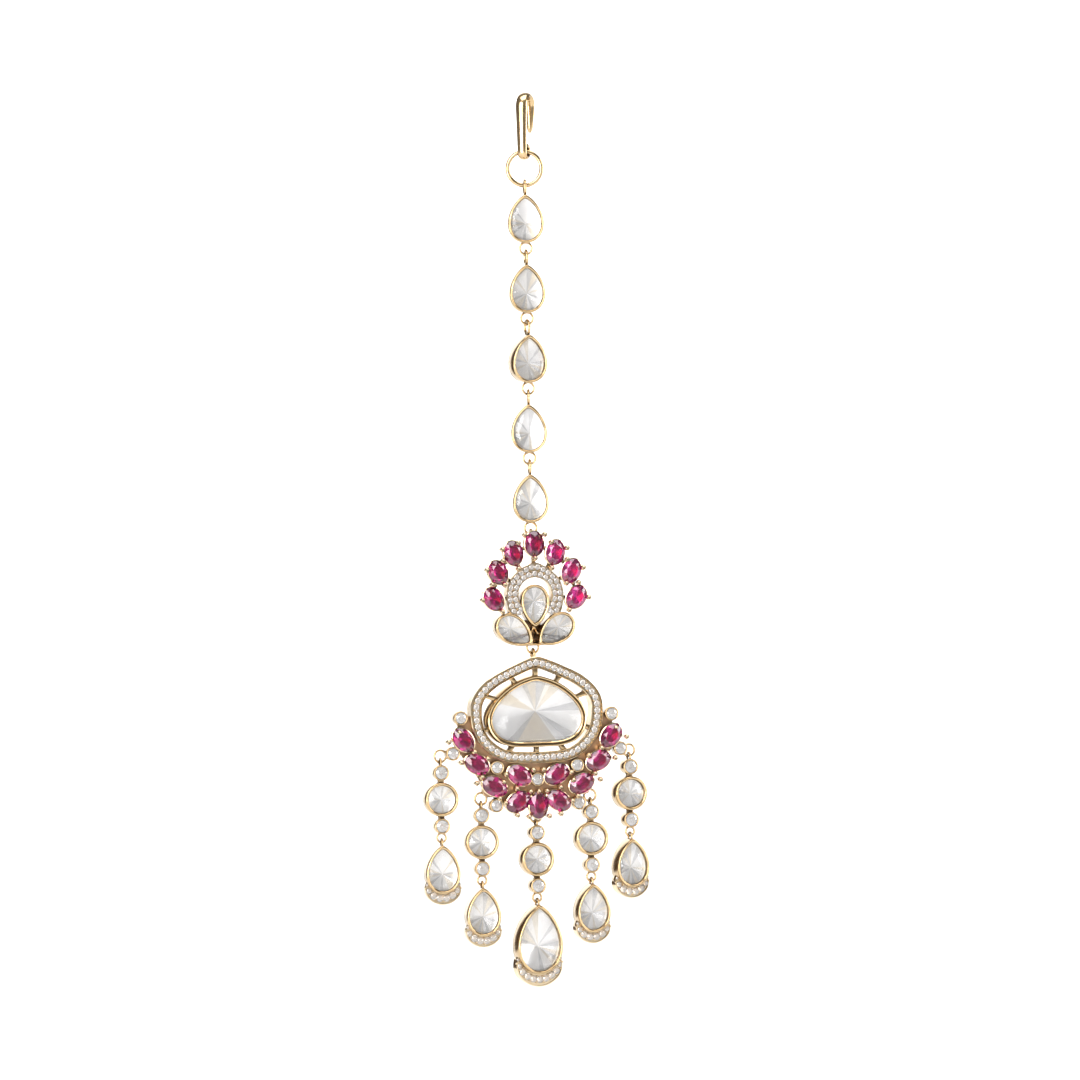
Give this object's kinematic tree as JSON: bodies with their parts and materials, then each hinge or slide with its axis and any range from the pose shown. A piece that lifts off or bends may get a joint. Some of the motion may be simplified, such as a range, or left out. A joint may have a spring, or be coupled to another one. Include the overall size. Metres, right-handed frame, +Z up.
{
  "type": "maang tikka",
  "caption": "Maang tikka head ornament: hair hook, chain of pear stones, ruby lotus crest, wide pendant with ruby crescent and pear drops",
  "frame": {"origin": "the inner crook of the hook, where the ornament hangs", "axes": "+Z up, the ornament hangs along -Z; its front faces -Y; +X is to the right seen from the front"},
  "size_m": [0.0385, 0.0061, 0.1434],
  "materials": {
    "gold": "polished pale yellow gold plate",
    "ruby": "faceted deep pink-red stone",
    "white_stone": "faceted clear white stone"
  },
  "bodies": {
    "chain": {"hook": "gold", "hook_ring": "gold", "chain_setting_1": "gold", "chain_setting_2": "gold", "chain_setting_3": "gold", "chain_setting_4": "gold", "chain_setting_5": "gold", "chain_stone_1": "white_stone", "chain_stone_2": "white_stone", "chain_stone_3": "white_stone", "chain_stone_4": "white_stone", "chain_stone_5": "white_stone"},
    "crest": {"crest_setting": "gold", "crest_ruby_1": "ruby", "crest_ruby_2": "ruby", "crest_ruby_3": "ruby", "crest_ruby_4": "ruby", "crest_ruby_5": "ruby", "crest_ruby_6": "ruby", "crest_ruby_7": "ruby", "crest_pear_1": "white_stone", "crest_pear_2": "white_stone", "crest_pear_3": "white_stone"},
    "pendant": {"pendant_setting": "gold", "pendant_stone": "white_stone", "pendant_ruby_1": "ruby", "pendant_ruby_2": "ruby", "pendant_ruby_3": "ruby", "pendant_ruby_4": "ruby", "pendant_ruby_5": "ruby", "pendant_ruby_6": "ruby", "pendant_ruby_7": "ruby", "pendant_ruby_8": "ruby", "pendant_ruby_9": "ruby", "pendant_ruby_10": "ruby", "pendant_ruby_11": "ruby", "drop_bar_1": "gold", "drop_bar_2": "gold", "drop_bar_3": "gold", "drop_bar_4": "gold", "drop_bar_5": "gold", "drop_round_1": "white_stone", "drop_round_2": "white_stone", "drop_round_3": "white_stone", "drop_round_4": "white_stone", "drop_round_5": "white_stone", "drop_setting_1": "gold", "drop_setting_2": "gold", "drop_setting_3": "gold", "drop_setting_4": "gold", "drop_setting_5": "gold", "drop_pear_1": "white_stone", "drop_pear_2": "white_stone", "drop_pear_3": "white_stone", "drop_pear_4": "white_stone", "drop_pear_5": "white_stone"}
  },
  "joints": [
    {"name": "crest_swing", "type": "hinge", "parent": "chain", "child": "crest", "pos_m": [-0.00056, -0.00083, -0.0697], "axis": [1, 0, 0], "range_deg": [-20, 75]},
    {"name": "pendant_swing", "type": "hinge", "parent": "crest", "child": "pendant", "pos_m": [-0.00056, -0.00083, -0.0888], "axis": [1, 0, 0], "range_deg": [-35, 75]}
  ]
}
